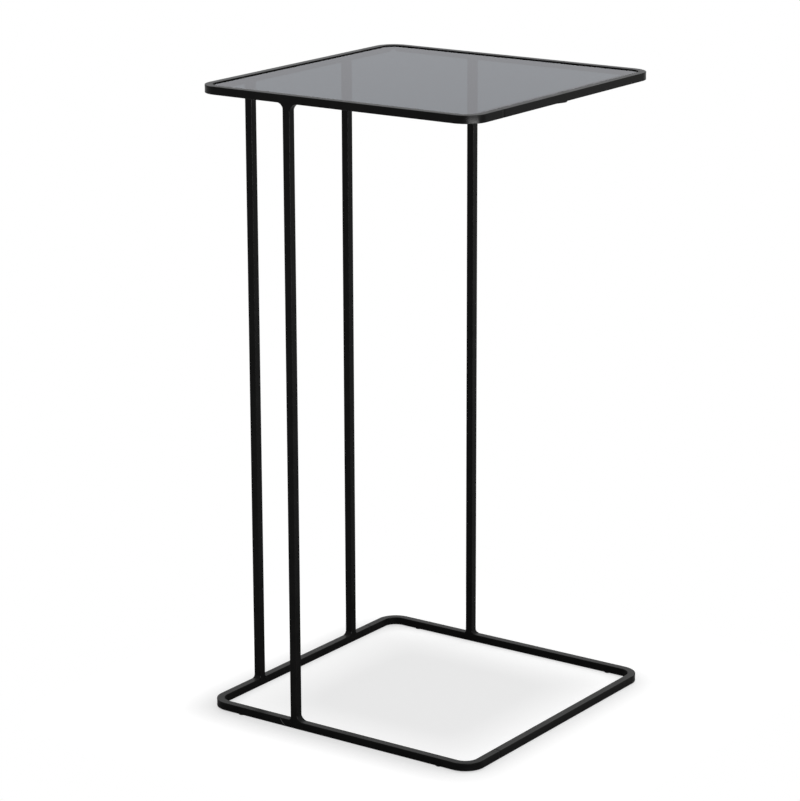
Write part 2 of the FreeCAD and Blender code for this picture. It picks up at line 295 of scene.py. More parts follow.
def circle(turns: int) -> list[tuple[float, float]]:
    """Return the cosine and the sine of each step round a circle."""
    angles = [turn / turns * 2 * math.pi for turn in range(turns)]
    return [(math.cos(angle), math.sin(angle)) for angle in angles]


Wire = bpy.types.NodeSocket | float | tuple[float, ...]


class NodeDraft:
    """A node tree while it is put together."""

    def __init__(self, tree: bpy.types.NodeTree) -> None:
        """Start on a tree.

        Args:
            tree: The tree of a material or of the world.
        """
        self.nodes = tree.nodes
        self.links = tree.links

    def add(
        self, kind: str, inputs: dict[str | int, Wire] | None = None, **settings: str
    ) -> bpy.types.Node:
        """Add a node.

        Args:
            kind: The node's type.
            inputs: A value or another node's output, for inputs by name or place.
            settings: The node's own settings.

        Returns:
            The node.
        """
        node = self.nodes.new(kind)
        for name, value in settings.items():
            setattr(node, name, value)
        for place, value in (inputs or {}).items():
            self.feed(node.inputs[place], value)
        return node

    def feed(self, socket: bpy.types.NodeSocket, value: Wire) -> None:
        """Give a socket a value, or another node's output.

        Args:
            socket: The socket.
            value: The value, or the output.
        """
        if isinstance(value, bpy.types.NodeSocket):
            self.links.new(value, socket)
        else:
            socket.default_value = value

    def calc(self, operation: str, *values: Wire) -> bpy.types.NodeSocket:
        """Return what an operation of the math node gives."""
        return self.add("ShaderNodeMath", dict(enumerate(values)), operation=operation).outputs["Value"]

    def spread(
        self, value: Wire, low: tuple[float, float], high: tuple[float, float]
    ) -> bpy.types.NodeSocket:
        """Return a value that is spread over another range.

        Args:
            value: The value.
            low: A low value and what it becomes.
            high: A high value and what it becomes.

        Returns:
            The new value, held within the new range.
        """
        ends = {"From Min": low[0], "From Max": high[0], "To Min": low[1], "To Max": high[1]}
        return self.add("ShaderNodeMapRange", {"Value": value, **ends}).outputs["Result"]

    def blend(self, share: Wire, start: Wire, end: Wire) -> bpy.types.NodeSocket:
        """Return a colour that goes from one to another.

        Args:
            share: The share of the second colour, from 0 to 1.
            start: The first colour.
            end: The second colour.

        Returns:
            The blended colour.
        """
        colours = {MIX_SHARE: share, MIX_START: start, MIX_END: end}
        return self.add("ShaderNodeMix", colours, data_type="RGBA").outputs[MIX_RESULT]

    def seen(self, mirrored: Wire = 1.0) -> bpy.types.NodeSocket:
        """Return how far a thing shows its bright side.

        Args:
            mirrored: How far it does so in a reflection.

        Returns:
            1 where the camera sees it straight or through glass, that share in a reflection, and else 0.
        """
        path = self.add("ShaderNodeLightPath").outputs
        straight = self.calc("MAXIMUM", path["Is Camera Ray"], path["Is Transmission Ray"])
        return self.calc("MAXIMUM", straight, self.calc("MULTIPLY", path["Is Glossy Ray"], mirrored))


class Grain(NamedTuple):
    """A cloudy pattern: how fine it is per metre, and how many finer layers it has."""

    per_metre: float
    layers: float


class Bump(NamedTuple):
    """How a pattern raises a surface: how strongly, and how high in metres."""

    strength: float
    height: float


class Shader(NodeDraft):
    """A material's nodes while they are put together round its principled shader."""

    def __init__(self, name: str) -> None:
        """Start a material with a principled shader.

        Args:
            name: The material's name.
        """
        self.material = bpy.data.materials.new(name)
        self.material.use_nodes = True
        super().__init__(self.material.node_tree)
        self.principled = self.nodes["Principled BSDF"]
        self.output = self.nodes["Material Output"]
        self.place = self.add("ShaderNodeTexCoord").outputs["Object"]

    def set(self, **values: Wire) -> None:
        """Set or link the principled shader's own sockets; an underscore stands for a space."""
        for name, value in values.items():
            self.feed(self.principled.inputs[name.replace("_", " ")], value)

    def grain(self, grain: Grain) -> bpy.types.NodeSocket:
        """Return a cloudy pattern that runs through the piece, about 0.5 on average."""
        sockets = {"Vector": self.place, "Scale": grain.per_metre, "Detail": grain.layers}
        return self.add("ShaderNodeTexNoise", sockets).outputs["Fac"]

    def between(self, pattern: bpy.types.NodeSocket, low: float, high: float) -> bpy.types.NodeSocket:
        """Return a pattern's value, spread from its usual range to another."""
        return self.spread(pattern, (GRAIN_LOW, low), (GRAIN_HIGH, high))

    def kept(self, name: str) -> bpy.types.NodeSocket:
        """Return the value that the mesh keeps at each point under a name."""
        return self.add("ShaderNodeAttribute", attribute_name=name).outputs["Fac"]

    def roughen(self, *layers: tuple[bpy.types.NodeSocket, Bump]) -> None:
        """Raise the surface a little by patterns, one over another.

        Args:
            layers: Each pattern, and how it raises the surface.
        """
        normal = self.principled.inputs["Normal"]
        for pattern, bump in layers:
            sockets = {"Height": pattern, "Strength": bump.strength, "Distance": bump.height}
            node = self.add("ShaderNodeBump", sockets)
            if normal.is_linked:
                self.feed(node.inputs["Normal"], normal.links[0].from_socket)
            self.feed(normal, node.outputs["Normal"])


class Finish:
    """A finish whose material is made once and then shared by the pieces that have it."""

    slot: ClassVar[Slot]

    def paint(self, shader: Shader) -> None:
        """Give a material this finish."""
        raise NotImplementedError

    def material(self) -> bpy.types.Material:
        """Return the finish's material, made at its first use.

        Returns:
            The material, named for the finish.
        """
        name = type(self).__name__
        if name not in bpy.data.materials:
            self.paint(Shader(name))
        return bpy.data.materials[name]


@dataclass(frozen=True)
class PowderCoat(Finish):
    """Satin black powder coat, brighter on the bar's edges, partly for a thinner coat and partly as a
    painted highlight, with a painted sheen on what faces up.
    """

    slot: ClassVar[Slot] = Slot.STEEL
    dark: tuple[float, ...] = (0.0058, 0.0058, 0.0056, 1)
    light: tuple[float, ...] = (0.0088, 0.0087, 0.0084, 1)
    # Lighter along the broken edges: partly a thinner coat there, partly a painted highlight of the lit
    # arrises
    edge: tuple[float, ...] = (0.0150, 0.0149, 0.0145, 1)
    # Painted highlight on the raised line that dressing a weld left
    scar_highlight: tuple[float, ...] = (0.10, 0.098, 0.094, 1)
    # Painted sheen on faces that point up, standing in for the light they reflect
    dust_and_sheen: tuple[float, ...] = (0.030, 0.030, 0.0288, 1)
    sheen_from: float = 0.86
    sheen_cover: tuple[float, float] = (0.8, 1.1)
    gloss_level: float = 0.055
    smoothest: float = 0.27
    roughest: float = 0.35
    cloud: Grain = Grain(60, 3)
    peel: Grain = Grain(650, 1)
    speck: Grain = Grain(2600, 2)
    peel_bump: Bump = Bump(0.10, 0.15 * MM)
    speck_bump: Bump = Bump(0.08, 0.05 * MM)

    def paint(self, shader: Shader) -> None:
        """Make the coat: cloudy colour and gloss over a fine orange peel.

        Args:
            shader: The material's nodes.
        """
        cloud = shader.grain(self.cloud)
        tone = shader.blend(shader.between(cloud, 0, 1), self.dark, self.light)
        # Lighter colour on the broken edges, partly a thinner coat and partly a painted highlight
        edge = shader.kept("edge")
        coat = shader.blend(edge, tone, self.edge)
        # A painted highlight where the share passes 1
        rubbed = shader.blend(shader.spread(edge, (1, 0), (WORN, 1)), coat, self.scar_highlight)
        speck = shader.grain(self.speck)
        # Painted sheen: faces that point up are made lighter, in specks
        normal = shader.add("ShaderNodeNewGeometry").outputs["Normal"]
        facing_up = shader.add("ShaderNodeSeparateXYZ", {"Vector": normal}).outputs["Z"]
        sheen_facing_up = shader.spread(facing_up, (self.sheen_from, 0), (1, 1))
        dusty_and_sheened = shader.calc("MULTIPLY", sheen_facing_up, shader.between(speck, *self.sheen_cover))
        shader.set(
            Base_Color=shader.blend(dusty_and_sheened, rubbed, self.dust_and_sheen),
            Roughness=shader.between(cloud, self.smoothest, self.roughest),
            Specular_IOR_Level=self.gloss_level,
        )
        shader.roughen((shader.grain(self.peel), self.peel_bump), (speck, self.speck_bump))


@dataclass(frozen=True)
class SmokedGlass(Finish):
    """Grey float glass, polished, with its tint all through it."""

    slot: ClassVar[Slot] = Slot.GLASS
    tint: tuple[float, ...] = (0.33, 0.39, 0.42, 1)
    darkness_per_metre: float = 700
    bend: float = 1.52
    clean: float = 0.0
    hazy: float = 0.03
    smear: Grain = Grain(18, 4)

    def paint(self, shader: Shader) -> None:
        """Make the glass: clear surfaces with a breath of haze, and an absorbing inside.

        Args:
            shader: The material's nodes.
        """
        shader.set(
            Base_Color=WHITE,
            Transmission_Weight=1,
            IOR=self.bend,
            Roughness=shader.between(shader.grain(self.smear), self.clean, self.hazy),
        )
        depth = {"Color": self.tint, "Density": self.darkness_per_metre}
        inside = shader.add("ShaderNodeVolumeAbsorption", depth)
        shader.feed(shader.output.inputs["Volume"], inside.outputs["Volume"])


@dataclass(frozen=True)
class ClearBumper(Finish):
    """Clear soft polyurethane with a slightly cloudy skin."""

    slot: ClassVar[Slot] = Slot.BUMPER
    colour: tuple[float, ...] = (0.86, 0.87, 0.85, 1)
    clearness: float = 0.85
    bend: float = 1.49
    smooth: float = 0.12
    cloudy: float = 0.3
    cloud: Grain = Grain(900, 2)
    cloud_bump: Bump = Bump(0.1, 0.05 * MM)

    def paint(self, shader: Shader) -> None:
        """Make the soft, half-clear plastic.

        Args:
            shader: The material's nodes.
        """
        cloud = shader.grain(self.cloud)
        shader.set(
            Base_Color=self.colour,
            Transmission_Weight=self.clearness,
            IOR=self.bend,
            Roughness=shader.between(cloud, self.smooth, self.cloudy),
        )
        shader.roughen((cloud, self.cloud_bump))


@dataclass(frozen=True)
class RubberPad(Finish):
    """Matt black rubber, faintly dusted."""

    slot: ClassVar[Slot] = Slot.PAD
    dark: tuple[float, ...] = (0.012, 0.012, 0.012, 1)
    dusty_and_sheened: tuple[float, ...] = (0.03, 0.03, 0.029, 1)
    gloss_level: float = 0.3
    smoothest: float = 0.75
    roughest: float = 0.92
    dust_and_sheen: Grain = Grain(420, 4)
    tooth: Grain = Grain(1800, 2)
    tooth_bump: Bump = Bump(0.25, 0.06 * MM)

    def paint(self, shader: Shader) -> None:
        """Make the matt rubber with a fine grain.

        Args:
            shader: The material's nodes.
        """
        dust_and_sheen = shader.grain(self.dust_and_sheen)
        shader.set(
            Base_Color=shader.blend(shader.between(dust_and_sheen, 0, 1), self.dark, self.dusty_and_sheened),
            Roughness=shader.between(dust_and_sheen, self.smoothest, self.roughest),
            Specular_IOR_Level=self.gloss_level,
        )
        shader.roughen((shader.grain(self.tooth), self.tooth_bump))


@dataclass(frozen=True)
class BarStock:
    """The square bar that the rings and uprights are made of."""

    side: float
    arris: float = 0.5 * MM
    arris_steps: int = 4
    flat_steps: int = 4
    hold: float = 0.25 * MM
    keystone: float = 0.02
    dish: float = 0.15 * MM
    dish_sharpness: int = 8
    crease: float = math.radians(40)

    def section(self, bent: float = 0.0, proud: float = 0.0) -> list[tuple[float, float, float]]:
        """Return the bar's section about its axis.

        Args:
            bent: How far the bar is bent there, from 0 to 1; a bend dishes the bar's outer face and
                draws in its edges.
            proud: How far the section stands proud of the bar.

        Returns:
            The way out of the bend, the way up and the share of a broken edge, for each point.
        """
        half = self.side / 2 + proud
        corner = Vector((half, half))
        radius = self.arris + proud
        outline = rounded_rectangle(
            -corner, corner, radius, self.arris_steps, self.hold, self.flat_steps
        )
        section = []
        for out, up, edge in outline:
            outer = max(0.0, out / half)
            hollow = self.dish * bent * outer**self.dish_sharpness * (1 - (up / half) ** 2)
            section.append((out - hollow, up * (1 - self.keystone * bent * outer), edge))
        return section


class Station(NamedTuple):
    """A place on a bar's axis, its outward direction, and what the bar is like there.

    The bar may be bent, from 0 to 1, it may have a run of paint under it, and it may stand proud of
    its section or, below 0, lie under it.
    """

    place: Vector
    out: Vector
    bent: float = 0.0
    run: float = 0.0
    proud: float = 0.0


@dataclass(frozen=True)
class PaintRun:
    """A run in the coat that hangs under a bar."""

    start: float
    end: float
    depth: float = 1.35 * MM
    lean: float = 16
    steps: int = 40
    hold: float = 1.5 * MM

    def drops(self) -> list[tuple[float, float]]:
        """Return how far the coat hangs down along the bar.

        Returns:
            Places along the bar, each with the coat's drop there.
        """
        shares = [step / self.steps for step in range(self.steps + 1)]
        run = [
            (self.start + share * (self.end - self.start), self.depth * share * (1 - share**self.lean))
            for share in shares
        ]
        return [(self.start - self.hold, 0.0), *run, (self.end + self.hold, 0.0)]


@dataclass
class BarRing:
    """A ring of bent bar: two J-shaped halves and the butt welds that close it."""

    level: Level
    finish: PowderCoat
    bend_inside: float = 13 * MM
    bend_steps: int = 24
    bend_ease: float = 0.2
    hold: float = 1.5 * MM
    seam_groove: float = 0.16 * MM
    seam_chamfer: float = 0.5 * MM
    seam_shares: tuple[float, ...] = (-1, -0.6, -0.3, 0, 0.3, 0.6, 1)
    # The butt weld's least share of the edge colour, which is partly a painted highlight
    seam_edge: float = 0.4
    dent: float = 0.05 * MM
    dents_across_per_metre: float = 400
    dents_along_per_metre: float = 900
    sharpness: int = 4
    paint_run: PaintRun | None = None

    def __post_init__(self) -> None:
        """Take the ring's place and the bar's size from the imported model."""
        low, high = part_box(self.half_node("back"))
        self.bar = BarStock(high.z - low.z)
        self.middle = (low.z + high.z) / 2
        self.reach = Vector((high.x - self.bar.side / 2, high.y - self.bar.side / 2))
        self.open_end = low.y
        self.bend_radius = self.bend_inside + self.bar.side / 2

    def half_node(self, half: str) -> str:
        """Return the name of one half's node."""
        return f"{self.level.value}_ring_{half}_half"

    def seam_node(self, side: Side) -> str:
        """Return the name of the node of the butt weld on one side."""
        return f"{self.level.value}_ring_{side.label}_seam"

    def at(self, x: float, y: float) -> Vector:
        """Return a place at the height of the bar's axis."""
        return Vector((x, y, self.middle))

    def bend(self, middle: Vector, start: float) -> list[Station]:
        """Return the stations round one bend.

        Args:
            middle: The bend's centre.
            start: The angle of the bar's outward direction where the bend starts.

        Returns:
            Stations from the start of the bend to its end.
        """
        stations = []
        for step in range(self.bend_steps + 1):
            share = step / self.bend_steps
            angle = start + share * math.pi / 2
            out = Vector((math.cos(angle), math.sin(angle), 0))
            ramp = min(share, 1 - share) / self.bend_ease
            stations.append(Station(middle + out * self.bend_radius, out, min(1.0, ramp)))
        return stations

    def back_half(self) -> list[Station]:
        """Return the stations of the back half: the open side, the back and a leg on the spine.

        Returns:
            Stations from the open side's butt weld to the spine's.
        """
        inner = self.reach - Vector((self.bend_radius, self.bend_radius))
        _, spine_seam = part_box(self.seam_node(Side.SPINE))
        out_open, out_back, out_spine = (side.outward for side in (Side.OPEN, Side.BACK, Side.SPINE))
        open_end = self.at(self.reach.x, self.open_end)
        spine_end = self.at(-self.reach.x, spine_seam.y)
        chamfer = Vector((0, self.seam_chamfer, 0))
        flat = chamfer + Vector((0, self.hold, 0))
        stations = [
            Station(open_end, out_open, proud=-self.seam_groove),
            Station(open_end + chamfer, out_open),
            Station(open_end + flat, out_open),
        ]
        if self.paint_run:
            for along, drop in self.paint_run.drops():
                stations.append(Station(self.at(self.reach.x, along), out_open, run=drop))
        stations.append(Station(self.at(self.reach.x, inner.y - self.hold), out_open))
        stations += self.bend(self.at(inner.x, inner.y), 0)
        stations.append(Station(self.at(inner.x - self.hold, self.reach.y), out_back))
        stations.append(Station(self.at(self.hold - inner.x, self.reach.y), out_back))
        stations += self.bend(self.at(-inner.x, inner.y), math.pi / 2)
        stations.append(Station(self.at(-self.reach.x, inner.y - self.hold), out_spine))
        stations.append(Station(spine_end + flat, out_spine))
        stations.append(Station(spine_end + chamfer, out_spine))
        stations.append(Station(spine_end, out_spine, proud=-self.seam_groove))
        return stations

    def sweep(self, stations: Sequence[Station]) -> Skin:
        """Return the bar swept along its stations.

        Args:
            stations: The stations, in order.

        Returns:
            The skin of one half.
        """
        rows = []
        for station in stations:
            row = []
            for out, up, edge in self.bar.section(station.bent, station.proud):
                below = min(1.0, max(0.0, -up) / (self.bar.side / 2))
                sag = station.run * below**self.sharpness
                row.append(SkinPoint(station.place + station.out * out + UP * (up - sag), edge))
            rows.append(row)
        return Skin.over(rows)

    def seam(self, side: Side) -> Skin:
        """Return a butt weld: a short band, ground flush but for a groove on each side.

        Args:
            side: The side that it is on.

        Returns:
            The skin of the butt weld.
        """
        low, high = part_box(self.seam_node(side))
        middle = (low + high) / 2
        half_length = (high.y - low.y) / 2
        across = self.dents_across_per_metre
        rows = []
        for share in self.seam_shares:
            place = middle + Vector((0, share * half_length, 0))
            along = place.y * self.dents_along_per_metre
            row = []
            for out, up, edge in self.bar.section(proud=-self.seam_groove * share**self.sharpness):
                dent = self.dent * abs(noise.noise((out * across, up * across, along)))
                shrink = 1 - dent / (self.bar.side / 2)
                point = place + (side.outward * out + UP * up) * shrink
                row.append(SkinPoint(point, max(edge, self.seam_edge)))
            rows.append(row)
        return Skin.over(rows)

    def build(self) -> None:
        """Make both halves and both butt welds and put them in their nodes' places."""
        back = self.back_half()
        turned = Matrix.Rotation(math.pi, 4, "Z")
        front = [
            station._replace(place=turned @ station.place, out=turned @ station.out, run=0.0)
            for station in back
        ]
        for half, stations in (("back", back), ("front", front)):
            dress(self.sweep(stations), self.half_node(half), Body.FRAME, self.finish, self.bar.crease)
        for side in (Side.OPEN, Side.SPINE):
            dress(self.seam(side), self.seam_node(side), Body.FRAME, self.finish, self.bar.crease)


@dataclass(frozen=True)
class WeldScar:
    """A thin raised line that dressing a weld has left on the ring's outer face, to the left of it."""

    head: tuple[float, float] = (-17 * MM, -1 * MM)
    foot: tuple[float, float] = (-10.4 * MM, -7.4 * MM)
    bow: float = 0.6 * MM
    width: float = 0.9 * MM
    height: float = 0.14 * MM
    tip: float = 0.04
    steps: int = 14
    turns: int = 10

    def rows(self, half: float) -> list[list[SkinPoint]]:
        """Return the line's outlines, from its head to its foot, in the weld's own axes.

        Args:
            half: Half the bar's side.

        Returns:
            The outlines of a flat bead that thins out at its ends.
        """
        start, end = (Vector((across, -half, up)) for across, up in (self.head, self.foot))
        run = end - start
        across = Vector((run.z, 0, -run.x)).normalized()
        rows = []
        for step in range(self.steps + 1):
            share = step / self.steps
            swell = math.sqrt(math.sin(math.pi * (self.tip + (1 - 2 * self.tip) * share)))
            middle = start + run * share + across * self.bow * math.sin(math.pi * share)
            row = []
            for cosine, sine in circle(self.turns):
                wide = across * (self.width / 2 * cosine)
                proud = Vector((0, -self.height * sine, 0))
                # The whole line takes the painted highlight colour
                row.append(SkinPoint(middle + (wide + proud) * swell, WORN))
            rows.append(row)
        return rows


@dataclass(frozen=True)
class WeldForm:
    """The form of one upright's weld: its legs along the ring, to the left and right from outside."""

    left_leg: float
    right_leg: float
    inner_crown: float = 0.2 * MM
    outer_crown: float = 0.2 * MM
    flare: float = 1.22
    apron: float = 4 * MM
    apron_share: float = 0.97
    crown_fade: float = 0.6
    tails: tuple[float, ...] = (0.6 * MM, 1.4 * MM)
    sink: float = 0.06 * MM
    arris: float = 0.8 * MM
    arris_steps: int = 4
    arris_shine: float = 0.5
    hold: float = 0.3 * MM
    ripple: float = 0.09 * MM
    ripple_per_metre: float = 420
    fillet_steps: int = 12
    apron_steps: int = 6
    scars: tuple[WeldScar, ...] = ()

    def hollow(self, leg: float, share: float) -> tuple[float, float]:
        """Return a point on a hollow fillet.

        Args:
            leg: The fillet's leg.
            share: 0 at the toe on the ring, 1 at the top on the upright.

        Returns:
            How far the point lies out from the upright's face, and up from the ring's.
        """
        radius = self.flare * leg
        centre = (leg + math.sqrt(2 * radius**2 - leg**2)) / 2
        toe = math.atan2(-centre, leg - centre)
        top = math.atan2(leg - centre, -centre)
        angle = toe + share * (top - toe)
        return centre + radius * math.cos(angle), centre + radius * math.sin(angle)

    def apron_width(self, reach: float, below: float) -> float:
        """Return the apron's half width at a depth below the ring's face, for its reach at that face."""
        radius = (reach**2 + self.apron**2) / (2 * self.apron)
        return math.sqrt(max(0.0, radius**2 - (radius - self.apron + below) ** 2))

    def row(
        self, left: tuple[float, float], right: tuple[float, float], half: float, crown: float
    ) -> list[SkinPoint]:
        """Return one outline round the weld.

        Args:
            left: How far out the left end lies, and how far up.
            right: The same for the right end.
            half: Half the bar's side.
            crown: The share of the crown that the weld has there.

        Returns:
            The outline's points, in the weld's own axes.
        """
        low = Vector((-left[0], -half - (self.outer_crown * crown - self.sink)))
        high = Vector((right[0], half + (self.inner_crown * crown - self.sink)))
        points = []
        outline = rounded_rectangle(low, high, self.arris, self.arris_steps, self.hold)
        for across, along, edge in outline:
            share = (across - low.x) / (high.x - low.x)
            place = Vector((across, along, left[1] + share * (right[1] - left[1])))
            rough = noise.noise_vector(place * self.ripple_per_metre) * self.ripple * crown
            points.append(SkinPoint(place + rough, edge * self.arris_shine))
        return points

    def rows(self, half: float) -> list[list[SkinPoint]]:
        """Return the weld's outlines, in its own axes.

        Args:
            half: Half the bar's side.

        Returns:
            The outlines from the end of its apron to its end on the upright.
        """
        rows = []
        reach = (half + self.left_leg, half + self.right_leg)
        for step in range(self.apron_steps):
            share = 1 - step / self.apron_steps
            below = self.apron * math.sin(share * math.pi / 2) * self.apron_share
            ends = [(max(2 * self.arris, self.apron_width(end, below)), -below) for end in reach]
            rows.append(self.row(*ends, half, 1 - share**2))
        for step in range(self.fillet_steps + 1):
            share = step / self.fillet_steps
            ends = []
            for leg in (self.left_leg, self.right_leg):
                out, up = self.hollow(leg, share)
                ends.append((half + out, up))
            rows.append(self.row(*ends, half, 1 - self.crown_fade * share**2))
        sunk = half - self.sink
        for beyond in self.tails:
            ends = [(sunk, leg + beyond) for leg in (self.left_leg, self.right_leg)]
            rows.append(self.row(*ends, half, 0.0))
        return rows


@dataclass
class Upright:
    """One upright of square bar and the welds at its two ends."""

    node: str
    side: Side
    base_weld: WeldForm
    top_weld: WeldForm
    finish: PowderCoat
    hold: float = 2 * MM
    weld_crease: float = math.radians(60)

    def __post_init__(self) -> None:
        """Take the upright's place and the bar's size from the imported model."""
        self.low, self.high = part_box(self.node)
        self.bar = BarStock(self.high.x - self.low.x)
        self.axis = (self.low + self.high) / 2

    def stick(self) -> Skin:
        """Return the upright's bar.

        Returns:
            The skin of the bar, from ring to ring.
        """
        rows = []
        for up in (self.low.z, self.low.z + self.hold, self.high.z - self.hold, self.high.z):
            place = Vector((self.axis.x, self.axis.y, up))
            rows.append(
                [
                    SkinPoint(place + self.side.rightward * across - self.side.outward * along, edge)
                    for across, along, edge in self.bar.section()
                ]
            )
        return Skin.over(rows)

    def weld(self, level: Level) -> Skin:
        """Return the weld at one end.

        Args:
            level: The ring at that end.

        Returns:
            The skin of the weld, and of any line that dressing it has left.
        """
        form = self.base_weld if level is Level.BASE else self.top_weld
        up = self.low.z if level is Level.BASE else self.high.z
        axes = self.side.axes_at(Vector((self.axis.x, self.axis.y, up)))
        if level is Level.TOP:
            axes = axes @ Matrix.Scale(-1, 4, UP)
        half = self.bar.side / 2
        skin = Skin()
        for rows in (form.rows(half), *(scar.rows(half) for scar in form.scars)):
            skin.stretch([[SkinPoint(axes @ point.place, point.edge) for point in row] for row in rows])
        return skin

    def build(self) -> None:
        """Make the bar and both welds and put them in their nodes' places."""
        dress(self.stick(), self.node, Body.FRAME, self.finish, self.bar.crease)
        for level in Level:
            node = f"{self.node}_{level.value}_weld"
            dress(self.weld(level), node, Body.FRAME, self.finish, self.weld_crease)


def slab_rows(
    low: Vector, high: Vector, corner: float, arris: float, steps: int
) -> list[list[SkinPoint]]:
    """Return the outlines of a flat slab with round corners and broken edges.

    Args:
        low: The slab's lowest corner.
        high: Its highest corner.
        corner: Its corners' radius.
        arris: How much is taken off its edges.
        steps: The number of steps in a corner.

    Returns:
        Its outlines from the underside to the top.
    """
    rows = []
    levels = ((low.z, arris), (low.z + arris, 0.0), (high.z - arris, 0.0), (high.z, arris))
    for level, inset in levels:
        inward = Vector((inset, inset))
        outline = rounded_rectangle(
            low.to_2d() + inward, high.to_2d() - inward, corner - inset, steps, corner / 2
        )
        rows.append([SkinPoint(Vector((x, y, level))) for x, y, _ in outline])
    return rows


@dataclass(frozen=True)
class DiscForm:
    """The form of a low disc whose shoulder is rounded."""

    wide: float
    narrow: float
    turns: int = 40
    shoulder: float = 0.3
    shoulder_steps: int = 6
    flat: float = 0.6

    def rows(self, foot: Vector, height: float) -> list[list[SkinPoint]]:
        """Return the disc's outlines.

        Args:
            foot: The middle of its foot.
            height: Its height, below 0 where it hangs down.

        Returns:
            Its outlines from the foot to the top.
        """
        profile = [(self.wide, 0.0), (self.wide, height * self.shoulder)]
        for step in range(1, self.shoulder_steps + 1):
            angle = step / self.shoulder_steps * math.pi / 2
            radius = self.narrow + (self.wide - self.narrow) * math.cos(angle)
            profile.append((radius, height * (self.shoulder + (1 - self.shoulder) * math.sin(angle))))
        profile.append((self.narrow * self.flat, height))
        rows = []
        for radius, up in profile:
            rim = [Vector((radius * cosine, radius * sine, up)) for cosine, sine in circle(self.turns)]
            rows.append([SkinPoint(foot + out) for out in rim])
        return rows


@dataclass
class PaneSeat:
    """What carries the pane: four ledges, their stitch welds and the soft bumpers on them."""

    steel: PowderCoat
    soft: ClearBumper
    ledge_corner: float = 2 * MM
    ledge_corner_steps: int = 6
    ledge_arris: float = 0.3 * MM
    ledge_crease: float = math.radians(30)
    stitch_length: float = 20 * MM
    stitch_width: float = 3.4 * MM
    stitch_tip: float = 0.06
    stitch_fullness: int = 5
    stitch_back: float = 0.3
    stitch_turns: int = 16
    stitch_crease: float = math.radians(80)
    ripples: int = 9
    ripple_steps: int = 4
    ripple_height: float = 0.08
    bumper: DiscForm = DiscForm(4 * MM, 3.4 * MM)
    bumper_inset: float = 75 * MM
    bumper_crease: float = math.radians(50)

    def ledge(self, side: Side) -> Skin:
        """Return one ledge, a flat strip with its edges broken."""
        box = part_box(f"{side.label}_ledge")
        return Skin.over(slab_rows(*box, self.ledge_corner, self.ledge_arris, self.ledge_corner_steps))

    def stitches(self) -> Skin:
        """Return all the stitch welds: rippled beads under the ledges' joints with the ring.

        Returns:
            The skin of all the beads.
        """
        skin = Skin()
        low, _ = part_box("ledge_stitch_welds")
        for side in Side:
            ledge_low, ledge_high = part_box(f"{side.label}_ledge")
            width, length = sorted((ledge_high - ledge_low).to_2d())
            middle = (ledge_low + ledge_high) / 2
            joint = middle + side.outward * (width / 2)
            end = (length - self.stitch_length) / 2
            for offset in (-end, 0, end):
                place = Vector((joint.x, joint.y, ledge_low.z)) + side.rightward * offset
                skin.stretch(self.bead_rows(side.axes_at(place), ledge_low.z - low.z))
        return skin

    def bead_rows(self, axes: Matrix, height: float) -> list[list[SkinPoint]]:
        """Return the outlines of one bead.

        Args:
            axes: The bead's axes, X along it.
            height: How far it stands down.

        Returns:
            Its outlines from end to end.
        """
        rows = []
        steps = self.ripples * self.ripple_steps
        for step in range(steps + 1):
            share = 2 * step / steps - 1
            full = math.sqrt(1 - abs(share) ** self.stitch_fullness)
            swell = full * (1 - self.stitch_tip) + self.stitch_tip
            swell *= 1 + self.ripple_height * math.cos(step / self.ripple_steps * 2 * math.pi)
            row = []
            for cosine, sine in circle(self.stitch_turns):
                deep = height * swell * max(-sine, -self.stitch_back)
                across = self.stitch_width / 2 * swell * cosine
                place = Vector((share * self.stitch_length / 2, across, -deep))
                row.append(SkinPoint(axes @ place))
            rows.append(row)
        return rows

    def bumpers(self) -> Skin:
        """Return all the bumpers: low domes that stick to the ledges.

        Returns:
            The skin of all the bumpers.
        """
        low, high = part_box("pane_bumpers")
        span = CAD_BOX[1] - CAD_BOX[0]
        skin = Skin()
        for side in Side:
            ledge_low, ledge_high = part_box(f"{side.label}_ledge")
            middle = (ledge_low + ledge_high) / 2
            reach = span.dot(Vector(map(abs, side.rightward))) / 2 - self.bumper_inset
            for offset in (-reach, reach):
                foot = Vector((middle.x, middle.y, low.z)) + side.rightward * offset
                skin.stretch(self.bumper.rows(foot, high.z - low.z))
        return skin

    def build(self) -> None:
        """Make the ledges, stitch welds and bumpers and put them in their nodes' places."""
        for side in Side:
            dress(self.ledge(side), f"{side.label}_ledge", Body.FRAME, self.steel, self.ledge_crease)
        dress(self.stitches(), "ledge_stitch_welds", Body.FRAME, self.steel, self.stitch_crease)
        dress(self.bumpers(), "pane_bumpers", Body.FRAME, self.soft, self.bumper_crease)


@dataclass
class Pane:
    """The pane of smoked glass that lies in the upper ring."""

    finish: SmokedGlass
    corner: float = 12 * MM
    corner_steps: int = 18
    arris: float = 0.5 * MM
    crease: float = math.radians(25)

    def build(self) -> None:
        """Make the pane with its ground edges and put it in its node's place."""
        rows = slab_rows(*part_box("glass_pane"), self.corner, self.arris, self.corner_steps)
        dress(Skin.over(rows), "glass_pane", Body.PANE, self.finish, self.crease)


@dataclass
class FloorPads:
    """The four thin discs that the base ring stands on."""

    finish: RubberPad
    inset: float = 40 * MM
    disc: DiscForm = DiscForm(3.5 * MM, 3 * MM)
    crease: float = math.radians(50)

    def build(self) -> None:
        """Make the discs and put them in their node's place."""
        low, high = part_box("floor_pads")
        ring_low, ring_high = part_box("base_ring_back_half")
        bar = ring_high.z - ring_low.z
        reach = ring_high.x - self.inset
        skin = Skin()
        for side in (Side.FRONT, Side.BACK):
            for offset in (-reach, reach):
                head = side.outward * (ring_high.y - bar / 2) + side.rightward * offset + UP * high.z
                skin.stretch(self.disc.rows(head, low.z - high.z))
        dress(skin, "floor_pads", Body.FRAME, self.finish, self.crease)


